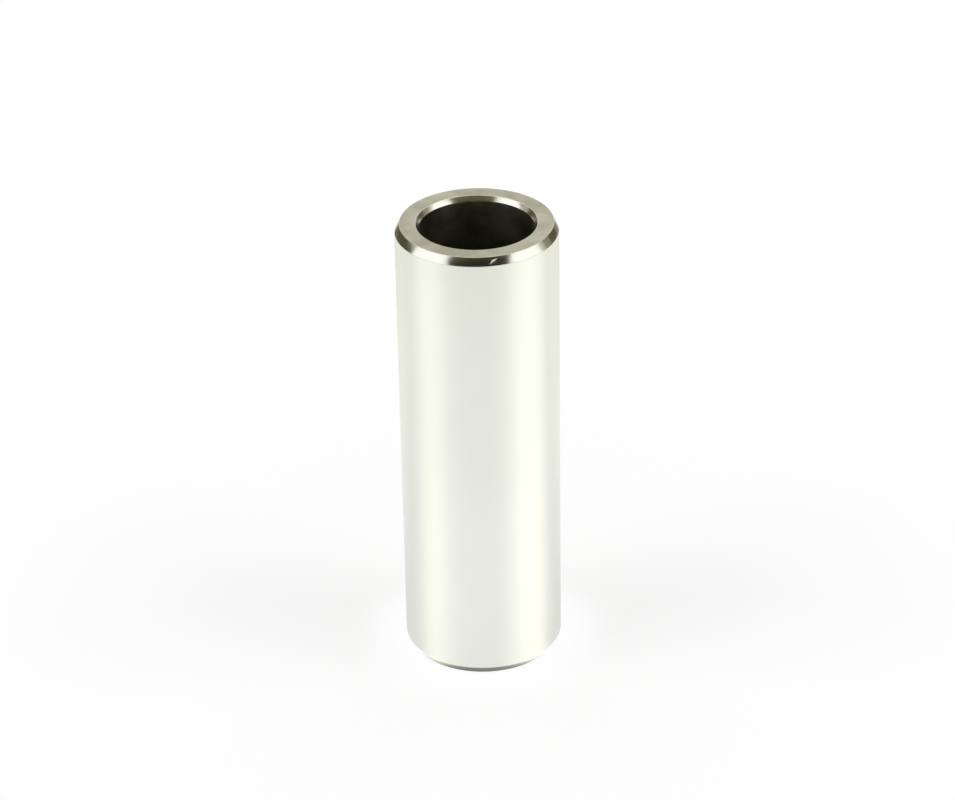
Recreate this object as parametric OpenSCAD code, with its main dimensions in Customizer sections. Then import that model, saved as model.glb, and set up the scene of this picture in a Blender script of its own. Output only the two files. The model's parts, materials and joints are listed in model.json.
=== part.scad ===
// Piston pin: a plain tube of hardened steel, ground outside, that joins a piston
// to the small end of its connecting rod. It stands on one end, with its axis along Z
// and the origin at the middle of the lower end.

/* [Pin] */
// Outside diameter of the ground wall
pin_d = 23.546; // [18:0.001:36]
// Length from end face to end face
pin_len = 69.85; // [40:0.05:100]
// Thickness of the tube between the ground wall and the bore
wall = 3.556; // [3.2:0.001:6]

/* [Lock chamfer] */
// Length along the axis of the chamfer that seats against a round wire lock
chamfer_len = 1.2; // [0.8:0.05:1.6]
// Slope of the chamfer, measured from the axis
chamfer_angle = 30; // [20:1:45]
// Radius that blends the chamfer into the ground wall
shoulder_r = 0.3; // [0.1:0.05:0.6]

/* [Bore mouth] */
// Depth of the bevelled mouth along the axis
mouth_len = 0.75; // [0.4:0.05:1.2]
// Slope of the bevel, measured from the axis
mouth_angle = 35; // [20:1:45]
// Radius that blends the bevel into the bore
throat_r = 0.2; // [0.1:0.05:0.4]

/* [End faces] */
// Radius that breaks both edges of an end face
edge_r = 0.12; // [0.05:0.01:0.25]

/* [Hidden] */
$fn = 180;
arc_steps = 4;

outer_r = pin_d / 2;
bore_r = outer_r - wall;
face_outer_r = outer_r - chamfer_len * tan(chamfer_angle);
face_inner_r = bore_r + mouth_len * tan(mouth_angle);

// Corners of the wall's section as [distance from the axis, height, edge radius],
// up the outside and back down the bore
section = [
    [face_inner_r, 0, edge_r],
    [face_outer_r, 0, edge_r],
    [outer_r, chamfer_len, shoulder_r],
    [outer_r, pin_len - chamfer_len, shoulder_r],
    [face_outer_r, pin_len, edge_r],
    [face_inner_r, pin_len, edge_r],
    [bore_r, pin_len - mouth_len, throat_r],
    [bore_r, mouth_len, throat_r]
];

function place(corner) = [corner[0], corner[1]];
function direction(from, to) = (to - from) / norm(to - from);

// Points of the arc that rounds one corner, from the side that comes in to the side that leaves.
// The outline runs anticlockwise and turns left at every corner.
function corner_arc(corners, i) =
    let (
        count = len(corners),
        here = place(corners[i]),
        radius = corners[i][2],
        into = direction(place(corners[(i + count - 1) % count]), here),
        out = direction(here, place(corners[(i + 1) % count])),
        turn = acos(into * out),
        setback = radius * tan(turn / 2),
        centre = here - setback * into + radius * [-into[1], into[0]],
        start = atan2(into[1], into[0]) - 90
    )
    [
        for (step = [0 : arc_steps])
            let (angle = start + turn * step / arc_steps)
            centre + radius * [cos(angle), sin(angle)]
    ];

function rounded_outline(corners) =
    [for (i = [0 : len(corners) - 1]) each corner_arc(corners, i)];

module piston_pin() {
    color("gainsboro")
        rotate_extrude()
            polygon(rounded_outline(section));
}

piston_pin();
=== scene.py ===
import json
from math import cos, hypot, pi, radians, sin, tan

import bpy
from mathutils import Matrix, Vector


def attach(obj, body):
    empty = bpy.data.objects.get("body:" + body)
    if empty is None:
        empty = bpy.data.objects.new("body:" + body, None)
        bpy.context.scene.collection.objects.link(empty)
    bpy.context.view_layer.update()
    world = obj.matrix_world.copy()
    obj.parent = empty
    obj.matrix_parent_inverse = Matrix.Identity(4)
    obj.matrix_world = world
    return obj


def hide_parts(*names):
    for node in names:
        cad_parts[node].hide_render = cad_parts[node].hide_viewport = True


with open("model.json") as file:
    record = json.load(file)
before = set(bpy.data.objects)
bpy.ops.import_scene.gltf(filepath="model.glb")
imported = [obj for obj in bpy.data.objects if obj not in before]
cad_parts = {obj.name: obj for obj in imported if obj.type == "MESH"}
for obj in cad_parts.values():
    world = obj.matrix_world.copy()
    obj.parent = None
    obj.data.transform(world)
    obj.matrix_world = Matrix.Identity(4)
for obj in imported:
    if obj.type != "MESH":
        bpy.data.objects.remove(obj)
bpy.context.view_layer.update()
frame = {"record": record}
mounts = {mount["name"]: mount for mount in frame["record"]["mounts"]}
wallRadius = mounts["outside_wall"]["dims"]["r_mm"] / 1000
boreRadius = mounts["bore"]["dims"]["r_mm"] / 1000
pinLength = mounts["upper_end"]["pos_m"][2]
pinTop = Vector((0, 0, pinLength))
upward = Vector((0, 0, 1))
print("frame loaded: pin", round(wallRadius * 2000, 3), "x", round(pinLength * 1000, 3), "mm")


# what the materials share

def addNode(tree, kind, **inputs):
    node = tree.nodes.new(kind)
    for name, value in inputs.items():
        node.inputs[name.replace("_", " ")].default_value = value
    return node


# a socket takes what another node puts out, or a plain value
def feed(tree, socket, value):
    if isinstance(value, bpy.types.NodeSocket):
        tree.links.new(value, socket)
    else:
        socket.default_value = value


def addMath(tree, operation, first, second=0):
    node = tree.nodes.new("ShaderNodeMath")
    node.operation = operation
    feed(tree, node.inputs[0], first)
    feed(tree, node.inputs[1], second)
    return node.outputs[0]


def addVectorMath(tree, operation, first, second=(0, 0, 0)):
    node = tree.nodes.new("ShaderNodeVectorMath")
    node.operation = operation
    feed(tree, node.inputs[0], first)
    feed(tree, node.inputs[1], second)
    return node.outputs["Value"]


# runs smoothly from startValue at start to endValue at end
def addFade(tree, value, start, end, startValue, endValue):
    node = addNode(tree, "ShaderNodeMapRange",
                   From_Min=start, From_Max=end, To_Min=startValue, To_Max=endValue)
    node.interpolation_type = "SMOOTHSTEP"
    tree.links.new(value, node.inputs["Value"])
    return node.outputs["Result"]


def addMix(tree, share, first, second):
    node = tree.nodes.new("ShaderNodeMix")
    feed(tree, node.inputs["Factor"], share)
    feed(tree, node.inputs["A"], first)
    feed(tree, node.inputs["B"], second)
    return node.outputs["Result"]


def addColourMix(tree, share, first, second):
    node = tree.nodes.new("ShaderNodeMix")
    node.data_type = "RGBA"
    node.inputs["A"].default_value = first + (1,)
    node.inputs["B"].default_value = second + (1,)
    tree.links.new(share, node.inputs["Factor"])
    return node.outputs["Result"]


def newGroup(name, inputs, outputs):
    group = bpy.data.node_groups.new(name, "ShaderNodeTree")
    for socketName, kind in inputs:
        group.interface.new_socket(socketName, in_out="INPUT", socket_type=kind)
    for socketName, kind in outputs:
        group.interface.new_socket(socketName, in_out="OUTPUT", socket_type=kind)
    return group, group.nodes.new("NodeGroupInput"), group.nodes.new("NodeGroupOutput")


# fine lines left by a wheel or a turning tool, and soft patches between patchLow and patchHigh of their noise
marksLook = {"lineDetail": 3, "patchDetail": 3, "patchRoughness": 0.55, "patchLow": 0.36, "patchHigh": 0.64}


def makeToolMarks():
    group, given, made = newGroup(
        "toolMarks",
        [("Across", "NodeSocketFloat"), ("Place", "NodeSocketVector"), ("Pitch", "NodeSocketFloat"),
         ("Patch Size", "NodeSocketFloat")],
        [("Lines", "NodeSocketFloat"), ("Patches", "NodeSocketFloat")])
    link = group.links.new
    lines = group.nodes.new("ShaderNodeTexNoise")
    lines.noise_dimensions = "1D"
    lines.inputs["Scale"].default_value = 1
    lines.inputs["Detail"].default_value = marksLook["lineDetail"]
    link(addMath(group, "DIVIDE", given.outputs["Across"], given.outputs["Pitch"]), lines.inputs["W"])
    patches = addNode(group, "ShaderNodeTexNoise",
                      Detail=marksLook["patchDetail"], Roughness=marksLook["patchRoughness"])
    link(addMath(group, "DIVIDE", 1, given.outputs["Patch Size"]), patches.inputs["Scale"])
    link(given.outputs["Place"], patches.inputs["Vector"])
    stretch = addNode(group, "ShaderNodeMapRange",
                      From_Min=marksLook["patchLow"], From_Max=marksLook["patchHigh"])
    link(patches.outputs["Fac"], stretch.inputs["Value"])
    link(lines.outputs["Fac"], made.inputs["Lines"])
    link(stretch.outputs["Result"], made.inputs["Patches"])
    return group


toolMarks = makeToolMarks()
alongPin = 0.25  # quarter turn that spreads the wall's reflections up and down


# one steel finish: marks run round the axis and change the roughness and the surface a little
def makeSteel(name, finish):
    material = bpy.data.materials.new(name)
    material.use_nodes = True
    tree = material.node_tree
    link = tree.links.new
    shader = tree.nodes["Principled BSDF"]
    shader.inputs["Metallic"].default_value = 1
    shader.inputs["Anisotropic"].default_value = finish["anisotropy"]
    shader.inputs["Anisotropic Rotation"].default_value = alongPin
    tangent = tree.nodes.new("ShaderNodeTangent")
    tangent.direction_type = "RADIAL"
    tangent.axis = "Z"
    link(tangent.outputs[0], shader.inputs["Tangent"])
    place = tree.nodes.new("ShaderNodeTexCoord").outputs["Object"]
    parts = tree.nodes.new("ShaderNodeSeparateXYZ")
    link(place, parts.inputs[0])
    across = parts.outputs["Z"]
    if finish["turned"]:  # rings on a flat end follow the distance from the axis
        squares = [addMath(tree, "POWER", parts.outputs[axis], 2) for axis in "XY"]
        across = addMath(tree, "SQRT", addMath(tree, "ADD", *squares))
    marks = tree.nodes.new("ShaderNodeGroup")
    marks.node_tree = toolMarks
    marks.inputs["Pitch"].default_value = finish["pitch"]
    marks.inputs["Patch Size"].default_value = finish["patchSize"]
    link(across, marks.inputs["Across"])
    link(place, marks.inputs["Place"])
    tone = addColourMix(tree, marks.outputs["Patches"], finish["colour"], finish["stain"])
    link(tone, shader.inputs["Base Color"])
    centred = addMath(tree, "SUBTRACT", marks.outputs["Lines"], 0.5)
    spread = addMath(tree, "MULTIPLY", centred, finish["lineRoughness"])
    link(addMath(tree, "ADD", spread, finish["roughness"]), shader.inputs["Roughness"])
    bump = addNode(tree, "ShaderNodeBump", Strength=1, Distance=finish["depth"])
    link(marks.outputs["Lines"], bump.inputs["Height"])
    link(bump.outputs["Normal"], shader.inputs["Normal"])
    return material


# the pin

pin = {
    "segments": 256,
    "chamferLength": 0.0012, "chamferAngle": radians(30), "shoulderRadius": 0.0003,
    "mouthDepth": 0.00075, "mouthAngle": radians(35), "throatRadius": 0.0002,
    "edgeRadius": 0.00012, "edgeSteps": 5, "sharpAngle": radians(15),
    "finishes": {
        "groundWall": {
            "colour": (0.877, 0.884, 0.838), "stain": (0.857, 0.864, 0.813),
            "roughness": 0.41, "lineRoughness": 0.06, "anisotropy": 0.7,
            "pitch": 0.00012, "patchSize": 0.02, "depth": 2e-7, "turned": False},
        "turnedEnd": {
            "colour": (0.53, 0.53, 0.487), "stain": (0.39, 0.39, 0.34),
            "roughness": 0.32, "lineRoughness": 0.16, "anisotropy": 0.3,
            "pitch": 0.00015, "patchSize": 0.004, "depth": 1e-6, "turned": True},
        "polishedBevel": {
            "colour": (0.80, 0.804, 0.748), "stain": (0.757, 0.757, 0.688),
            "roughness": 0.17, "lineRoughness": 0.06, "anisotropy": 0.2,
            "pitch": 0.0001, "patchSize": 0.003, "depth": 2e-7, "turned": False},
        "turnedMouth": {
            "colour": (0.88, 0.88, 0.80), "stain": (0.80, 0.79, 0.70),
            "roughness": 0.2, "lineRoughness": 0.06, "anisotropy": 0.2,
            "pitch": 0.00012, "patchSize": 0.003, "depth": 5e-8, "turned": False},
        # the bore's colour is darkened, a painted shade added to the real shade down the long tube
        "boreWithPaintedShade": {
            "colour": (0.28, 0.275, 0.20), "stain": (0.13, 0.13, 0.09),
            "roughness": 0.42, "lineRoughness": 0.2, "anisotropy": 0.4,
            "pitch": 0.0004, "patchSize": 0.006, "depth": 3e-6, "turned": False},
    },
}
sameSpot = 1e-6  # points closer than this lie on the same ring
sameCorner = 1e-7  # corners closer than this are merged


def radiusOf(point):
    return hypot(point[0], point[1])


# rounds the rings of edges that lie at one corner of the section, at both ends of the pin
def roundCorner(piece, radius, height, edgeRadius, turn):
    mesh = piece.data
    bpy.ops.mesh.select_all(action="DESELECT")
    bpy.ops.object.mode_set(mode="OBJECT")
    for edge in mesh.edges:
        ends = [mesh.vertices[i].co for i in edge.vertices]
        onWall = all(abs(radiusOf(p) - radius) < sameSpot for p in ends)
        atFoot = all(abs(p.z - height) < sameSpot for p in ends)
        atTop = all(abs(pinLength - height - p.z) < sameSpot for p in ends)
        edge.select = onWall and (atFoot or atTop)
    bpy.ops.object.mode_set(mode="EDIT")
    bpy.ops.mesh.bevel(offset=edgeRadius * tan(turn / 2), offset_type="OFFSET",
                       segments=pin["edgeSteps"], profile=0.5)


def modelPin():
    faceOuter = wallRadius - pin["chamferLength"] * tan(pin["chamferAngle"])
    faceInner = boreRadius + pin["mouthDepth"] * tan(pin["mouthAngle"])
    # up the outside and back down the bore, each ring drawn out of the last one
    rings = [
        (faceOuter, 0), (wallRadius, pin["chamferLength"]), (wallRadius, pinLength - pin["chamferLength"]),
        (faceOuter, pinLength), (faceInner, pinLength), (boreRadius, pinLength - pin["mouthDepth"]),
        (boreRadius, pin["mouthDepth"]), (faceInner, 0)]
    bpy.ops.object.select_all(action="DESELECT")
    bpy.ops.mesh.primitive_circle_add(vertices=pin["segments"], radius=faceOuter)
    piece = bpy.context.object
    piece.name = piece.data.name = "groundPin"
    bpy.ops.object.mode_set(mode="EDIT")
    bpy.ops.mesh.select_mode(type="EDGE")
    for (radius, height), (nextRadius, nextHeight) in zip(rings, rings[1:]):
        bpy.ops.mesh.extrude_region_move(TRANSFORM_OT_translate={"value": (0, 0, nextHeight - height)})
        ratio = nextRadius / radius
        bpy.ops.transform.resize(value=(ratio, ratio, 1), center_override=(0, 0, nextHeight))
    bpy.ops.mesh.select_all(action="DESELECT")
    bpy.ops.mesh.select_non_manifold(use_wire=False, use_boundary=True, use_multi_face=False,
                                     use_non_contiguous=False, use_verts=False)
    bpy.ops.mesh.bridge_edge_loops()
    quarter = pi / 2
    roundCorner(piece, wallRadius, pin["chamferLength"], pin["shoulderRadius"], pin["chamferAngle"])
    roundCorner(piece, faceOuter, 0, pin["edgeRadius"], quarter - pin["chamferAngle"])
    roundCorner(piece, faceInner, 0, pin["edgeRadius"], quarter - pin["mouthAngle"])
    roundCorner(piece, boreRadius, pin["mouthDepth"], pin["throatRadius"], pin["mouthAngle"])
    bpy.ops.mesh.select_all(action="SELECT")
    bpy.ops.mesh.remove_doubles(threshold=sameCorner)
    bpy.ops.mesh.normals_make_consistent(inside=False)
    bpy.ops.object.mode_set(mode="OBJECT")
    return piece


nick = {"turn": radians(11.5), "drop": 0.0006, "slant": radians(30),
        "length": 0.0017, "width": 0.0006, "depth": 0.0001, "finish": "turnedMouth"}


# middle of the nick on the upper chamfer, and the way the chamfer looks there
def nickPlace():
    slope = pin["chamferAngle"]
    radius = wallRadius - (pin["chamferLength"] - nick["drop"]) * tan(slope)
    outward = Vector((sin(nick["turn"]), -cos(nick["turn"]), 0))
    middle = outward * radius + pinTop - upward * nick["drop"]
    return middle, outward * cos(slope) + upward * sin(slope)


# a shallow gouge across the upper chamfer, cut by a pointed wedge that lies along it
def cutNick(piece):
    middle, normal = nickPlace()
    level = upward.cross(normal).normalized()
    along = level * cos(nick["slant"]) + normal.cross(level) * sin(nick["slant"])
    turn = Matrix((along, normal.cross(along), normal)).transposed()
    bpy.ops.object.select_all(action="DESELECT")
    bpy.ops.mesh.primitive_uv_sphere_add(segments=4, ring_count=2, radius=1,  # two pyramids, base to base
                                         rotation=turn.to_euler(), location=middle)
    wedge = bpy.context.object
    wedge.scale = (nick["length"] / 2, nick["width"] / 2, nick["depth"])
    bpy.context.view_layer.objects.active = piece
    cut = piece.modifiers.new("nick", "BOOLEAN")
    cut.object = wedge
    cut.operation = "DIFFERENCE"
    cut.solver = "EXACT"
    bpy.ops.object.modifier_apply(modifier=cut.name)
    bpy.data.objects.remove(wedge)


def smoothPin(piece):
    bpy.ops.object.select_all(action="DESELECT")
    piece.select_set(True)
    bpy.context.view_layer.objects.active = piece
    bpy.ops.object.shade_smooth_by_angle(angle=pin["sharpAngle"])
    bpy.ops.object.modifier_add(type="WEIGHTED_NORMAL")
    piece.modifiers[-1].keep_sharp = True
    bpy.ops.object.modifier_apply(modifier=piece.modifiers[-1].name)


# a face is on an end, the wall or the chamfer when its normal is this nearly that surface's own,
# and in the bore when it looks at the axis more squarely than the mouth by this factor
squareOn = {"end": 0.99, "wall": 0.99, "chamfer": 0.997, "bore": 1.01}


# each kind of surface takes its own finish, told apart by which way its faces look
def finishPin(piece):
    slots = {name: i for i, name in enumerate(pin["finishes"])}
    for name, finish in pin["finishes"].items():
        piece.data.materials.append(makeSteel(name, finish))
    middle, chamferLooks = nickPlace()
    for face in piece.data.polygons:
        outward = face.normal.dot(Vector((face.center.x, face.center.y, 0)).normalized())
        atNick = (face.center - middle).length < nick["length"] / 2
        if atNick and face.normal.dot(chamferLooks) < squareOn["chamfer"]:
            kind = nick["finish"]
        elif abs(face.normal.z) > squareOn["end"]:
            kind = "turnedEnd"
        elif outward > squareOn["wall"]:
            kind = "groundWall"
        elif outward < -squareOn["bore"] * cos(pin["mouthAngle"]):
            kind = "boreWithPaintedShade"
        else:
            kind = "polishedBevel" if outward > 0 else "turnedMouth"
        face.material_index = slots[kind]


pinPiece = modelPin()
cutNick(pinPiece)
smoothPin(pinPiece)
finishPin(pinPiece)
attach(pinPiece, "root")
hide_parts("piston_pin")
print("pin modelled:", len(pinPiece.data.polygons), "faces")


# the stage: angles are seen from the pin's upper end, azimuth from the camera's side and to the right

def lookTo(azimuth, elevation):
    a, e = radians(azimuth), radians(elevation)
    return Vector((sin(a) * cos(e), -cos(a) * cos(e), sin(e)))


floor = {
    "size": 6.0, "colour": (0.94, 0.94, 0.935),
    # painted white shares seen from the camera, laid over the sheet's own shade
    "boreWhite": 0.6, "boreEnd": 0.0105, "footWhite": 0.95, "footRadius": 0.0122,
    "lobeWhite": 0.66, "lobeStart": 0.022, "lobeEnd": 0.03, "farRadius": 0.1,
    # painted white shares seen in the steel, over the sheet's own shade: next to the foot, in front, behind
    # and far out
    "edgeShare": 0.9, "edgeRadius": 0.0118, "steelRadius": 0.0135,
    "frontShare": 0.35, "backShare": 0.78, "backStart": 0.02, "backEnd": 0.07,
    "outShare": 0.85, "outStart": 0.16, "outEnd": 0.32,
    # strength of the painted white seen in the steel: a painted shade under the foot, painted light near it,
    # further off and far out
    "paintedContactShade": 0.24, "contactShift": 0.003, "contactRadius": 0.0085, "nearRadius": 0.0102,
    "nearGlow": 1.25, "fadeStart": 0.03, "fadeEnd": 0.2, "farGlow": 1.24, "outGlow": 0.68,
    "farTint": (1, 1.02, 0.885),
    # painted brighter strips of light, each mirrored in the wall as a painted highlight band between two
    # turns from the camera's side
    "strips": [
        {"start": -47.5, "startSoft": 0.12, "end": -28.5, "endSoft": 0.24, "gain": 0.39},
        {"start": 23.5, "startSoft": 0.38, "end": 51.5, "endSoft": 0.12, "gain": 0.66},
    ],
}


# to the camera the sheet is a painted white over its own shade: nearly all white at the foot, which hides the
# contact shade there, less where the soft shadows lie left and right of the foot, and a painted grey with
# some of the real shade down the bore
def addCameraShare(tree, distance):
    nearShare = addFade(tree, distance, floor["footRadius"], floor["lobeStart"],
                        floor["footWhite"], floor["lobeWhite"])
    farShare = addFade(tree, distance, floor["lobeEnd"], floor["farRadius"], floor["lobeWhite"], 1)
    downBore = addFade(tree, distance, boreRadius, floor["boreEnd"], floor["boreWhite"], 1)
    return addMath(tree, "MULTIPLY", addMath(tree, "MAXIMUM", nearShare, farShare), downBore)


# in the steel the painted white covers more of the sheet's own shade next to the foot, behind the pin and far
# out
def addSteelShare(tree, place, distance, farOut):
    parts = tree.nodes.new("ShaderNodeSeparateXYZ")
    tree.links.new(place, parts.inputs[0])
    edgeShare = addFade(tree, distance, floor["edgeRadius"], floor["steelRadius"], floor["edgeShare"], 0)
    openShare = addFade(tree, parts.outputs["Y"], floor["backStart"], floor["backEnd"],
                        floor["frontShare"], floor["backShare"])
    outShare = addMath(tree, "MULTIPLY", farOut, floor["outShare"])
    return addMath(tree, "MAXIMUM", addMath(tree, "MAXIMUM", edgeShare, openShare), outShare)


# how far a floor point lies past the line that the wall mirrors at one turn, against its distance
def addTurnLine(tree, place, distance, turn):
    across = addVectorMath(tree, "DOT_PRODUCT", place, (cos(2 * turn), sin(2 * turn), 0))
    past = addMath(tree, "ADD", across, wallRadius * sin(turn))
    return addMath(tree, "DIVIDE", past, distance)


# a painted strip of light on the sheet, seen only in the steel
def addStrip(tree, place, distance, strip):
    pastStart = addTurnLine(tree, place, distance, radians(strip["start"]))
    pastEnd = addTurnLine(tree, place, distance, radians(strip["end"]))
    begins = addFade(tree, pastStart, -strip["startSoft"], strip["startSoft"], 0, 1)
    ends = addFade(tree, pastEnd, -strip["endSoft"], strip["endSoft"], 1, 0)
    return addMath(tree, "MULTIPLY", begins, ends)


# that painted white is a painted shade under the foot's front and back, painted light next to them and in two
# strips, and dimmer far out
def addSteelGlow(tree, place, distance, farOut):
    bothWays = tree.nodes.new("ShaderNodeVectorMath")
    bothWays.operation = "ABSOLUTE"
    tree.links.new(place, bothWays.inputs[0])
    shifted = addVectorMath(tree, "DISTANCE", bothWays.outputs["Vector"], (0, floor["contactShift"], 0))
    contact = addFade(tree, shifted, floor["contactRadius"], floor["nearRadius"],
                      floor["paintedContactShade"], floor["nearGlow"])
    farOff = addFade(tree, distance, floor["fadeStart"], floor["fadeEnd"],
                     floor["nearGlow"], floor["farGlow"])
    glow = addMath(tree, "MINIMUM", contact, farOff)
    tintShare = addFade(tree, distance, floor["fadeStart"], floor["fadeEnd"], 0, 1)
    for strip in floor["strips"]:
        inside = addStrip(tree, place, distance, strip)
        tintShare = addMath(tree, "MAXIMUM", tintShare, inside)
        gain = addMath(tree, "ADD", addMath(tree, "MULTIPLY", inside, strip["gain"]), 1)
        glow = addMath(tree, "MULTIPLY", glow, gain)
    return addMix(tree, farOut, glow, floor["outGlow"]), tintShare


def makeFloor():
    bpy.ops.object.select_all(action="DESELECT")
    bpy.ops.mesh.primitive_plane_add(size=floor["size"])
    sheet = bpy.context.object
    sheet.name = "floor"
    material = bpy.data.materials.new("paleFloor")
    material.use_nodes = True
    tree = material.node_tree
    link = tree.links.new
    tree.nodes.remove(tree.nodes["Principled BSDF"])
    paper = addNode(tree, "ShaderNodeBsdfDiffuse", Color=floor["colour"] + (1,))
    white = tree.nodes.new("ShaderNodeEmission")
    path = tree.nodes.new("ShaderNodeLightPath")
    place = tree.nodes.new("ShaderNodeTexCoord").outputs["Object"]
    distance = addVectorMath(tree, "LENGTH", place)
    farOut = addFade(tree, distance, floor["outStart"], floor["outEnd"], 0, 1)
    mirrored = addMath(tree, "MAXIMUM", path.outputs["Is Glossy Ray"], path.outputs["Is Transmission Ray"])
    seenShare = addMath(tree, "MULTIPLY", path.outputs["Is Camera Ray"], addCameraShare(tree, distance))
    steelShare = addMath(tree, "MULTIPLY", mirrored, addSteelShare(tree, place, distance, farOut))
    steelGlow, tintShare = addSteelGlow(tree, place, distance, farOut)
    link(addMix(tree, mirrored, 1, steelGlow), white.inputs["Strength"])
    tintShare = addMath(tree, "MULTIPLY", mirrored, tintShare)
    link(addColourMix(tree, tintShare, (1, 1, 1), floor["farTint"]), white.inputs["Color"])
    mix = tree.nodes.new("ShaderNodeMixShader")
    link(addMath(tree, "MAXIMUM", seenShare, steelShare), mix.inputs["Fac"])
    link(paper.outputs[0], mix.inputs[1])
    link(white.outputs[0], mix.inputs[2])
    link(mix.outputs[0], tree.nodes["Material Output"].inputs["Surface"])
    sheet.data.materials.append(material)


softboxes = [  # those that the steel doesn't mirror only light the floor
    {"name": "leftBox", "azimuth": -73, "elevation": 17, "distance": 0.7,
     "width": 0.63, "height": 0.55, "radiance": 0.3, "mirrored": True},
    {"name": "rightBox", "azimuth": 77, "elevation": 17, "distance": 0.7,
     "width": 0.63, "height": 0.55, "radiance": 0.3, "mirrored": True},
    {"name": "leftFill", "azimuth": -75, "elevation": 30, "distance": 0.9,
     "width": 0.6, "height": 0.5, "radiance": 4.15, "mirrored": False},
    {"name": "rightFill", "azimuth": 75, "elevation": 30, "distance": 0.9,
     "width": 0.6, "height": 0.5, "radiance": 4.15, "mirrored": False},
    {"name": "topBox", "azimuth": 180, "elevation": 85, "distance": 1.6,
     "width": 1.7, "height": 1.7, "radiance": 1.75, "mirrored": False},
]


def makeSoftbox(box):
    bpy.ops.object.select_all(action="DESELECT")
    side = lookTo(box["azimuth"], box["elevation"])
    bpy.ops.object.light_add(type="AREA", location=pinTop + side * box["distance"])
    lamp = bpy.context.object
    lamp.name = box["name"]
    lamp.rotation_euler = side.to_track_quat("Z", "Y").to_euler()
    lamp.data.shape = "RECTANGLE"
    lamp.data.size = box["width"]
    lamp.data.size_y = box["height"]
    lamp.data.energy = box["radiance"] * pi * box["width"] * box["height"]
    lamp.visible_glossy = box["mirrored"]


flags = [  # cards that only the steel sees
    {"name": "cameraFlag", "azimuth": 2.1, "elevation": 31, "distance": 0.8,
     "width": 1.26, "height": 0.36, "colour": (0.009, 0.007, 0.0025)},
    {"name": "cameraFlagTop", "azimuth": 7.5, "elevation": 50, "distance": 0.75,
     "width": 1.08, "height": 0.3, "colour": (0.092, 0.087, 0.036)},
    {"name": "leftFlag", "azimuth": -121, "elevation": 14, "distance": 0.5,
     "width": 0.44, "height": 0.43, "colour": (0.085, 0.079, 0.049)},
    {"name": "leftFlagSoft", "azimuth": -106, "elevation": 20.5, "distance": 0.48,
     "width": 0.165, "height": 0.105, "colour": (0.47, 0.46, 0.385)},
    {"name": "rightFlag", "azimuth": 131.5, "elevation": 14, "distance": 0.5,
     "width": 0.24, "height": 0.43, "colour": (0.098, 0.09, 0.058)},
    {"name": "rightFlagEdge", "azimuth": 112, "elevation": 14, "distance": 0.5,
     "width": 0.125, "height": 0.43, "colour": (0.28, 0.266, 0.203)},
    {"name": "rightFlagSoft", "azimuth": 101, "elevation": 14, "distance": 0.51,
     "width": 0.084, "height": 0.43, "colour": (0.62, 0.603, 0.527)},
    {"name": "leftBackFlag", "azimuth": -147, "elevation": -2, "distance": 0.29,
     "width": 0.068, "height": 0.13, "colour": (0.14, 0.129, 0.081)},
    {"name": "rightBackFlag", "azimuth": 147, "elevation": -2, "distance": 0.29,
     "width": 0.07, "height": 0.13, "colour": (0.25, 0.235, 0.175)},
    {"name": "backWall", "azimuth": 180, "elevation": 34, "distance": 0.9,
     "width": 1.3, "height": 0.8, "colour": (0.915, 0.89, 0.75)},
    {"name": "ceiling", "azimuth": 180, "elevation": 90, "distance": 1.2,
     "width": 1.6, "height": 1.6, "colour": (0.82, 0.795, 0.665)},
]


def makeFlag(card):
    bpy.ops.object.select_all(action="DESELECT")
    side = lookTo(card["azimuth"], card["elevation"])
    bpy.ops.mesh.primitive_plane_add(size=1, location=pinTop + side * card["distance"])
    sheet = bpy.context.object
    sheet.name = card["name"]
    sheet.rotation_euler = side.to_track_quat("Z", "Y").to_euler()
    sheet.scale = (card["width"], card["height"], 1)
    sheet.visible_camera = False
    sheet.visible_diffuse = False
    sheet.visible_shadow = False
    material = bpy.data.materials.new(card["name"])
    material.use_nodes = True
    tree = material.node_tree
    tree.nodes.remove(tree.nodes["Principled BSDF"])
    glow = addNode(tree, "ShaderNodeEmission", Color=card["colour"] + (1,), Strength=1)
    tree.links.new(glow.outputs[0], tree.nodes["Material Output"].inputs["Surface"])
    sheet.data.materials.append(material)


room = {"colour": (1, 1, 1), "light": 0.08}


# white to the camera and in the steel, and only a little light on the floor
def makeRoom():
    world = bpy.data.worlds.new("paleRoom")
    bpy.context.scene.world = world
    world.use_nodes = True
    tree = world.node_tree
    back = tree.nodes["Background"]
    back.inputs["Color"].default_value = room["colour"] + (1,)
    path = tree.nodes.new("ShaderNodeLightPath")
    mirrored = addMath(tree, "MAXIMUM", path.outputs["Is Glossy Ray"], path.outputs["Is Transmission Ray"])
    seen = addMath(tree, "MAXIMUM", path.outputs["Is Camera Ray"], mirrored)
    tree.links.new(addMix(tree, seen, room["light"], 1), back.inputs["Strength"])


makeFloor()
for box in softboxes:
    makeSoftbox(box)
for card in flags:
    makeFlag(card)
makeRoom()
print("stage set:", len(softboxes), "lamps,", len(flags), "flags")


view = {"distance": 0.41302, "height": 0.27538, "pitch": 29.608, "pan": -0.046, "roll": -1.06,
        "lens": 121.866, "sensor": 36}


def makeCamera():
    pitch, pan, roll = (radians(view[name]) for name in ("pitch", "pan", "roll"))
    ahead = Vector((sin(pan) * cos(pitch), cos(pan) * cos(pitch), -sin(pitch)))
    level = Vector((cos(pan), -sin(pan), 0))
    over = level.cross(ahead)
    right = level * cos(roll) + over * sin(roll)
    top = over * cos(roll) - level * sin(roll)
    turn = Matrix((right, top, -ahead)).transposed()
    bpy.ops.object.camera_add(location=(0, -view["distance"], view["height"]), rotation=turn.to_euler())
    camera = bpy.context.object
    camera.data.sensor_width = view["sensor"]
    camera.data.lens = view["lens"]
    bpy.context.scene.camera = camera


makeCamera()
bpy.context.scene.view_settings.view_transform = "Standard"
print("scene ready")
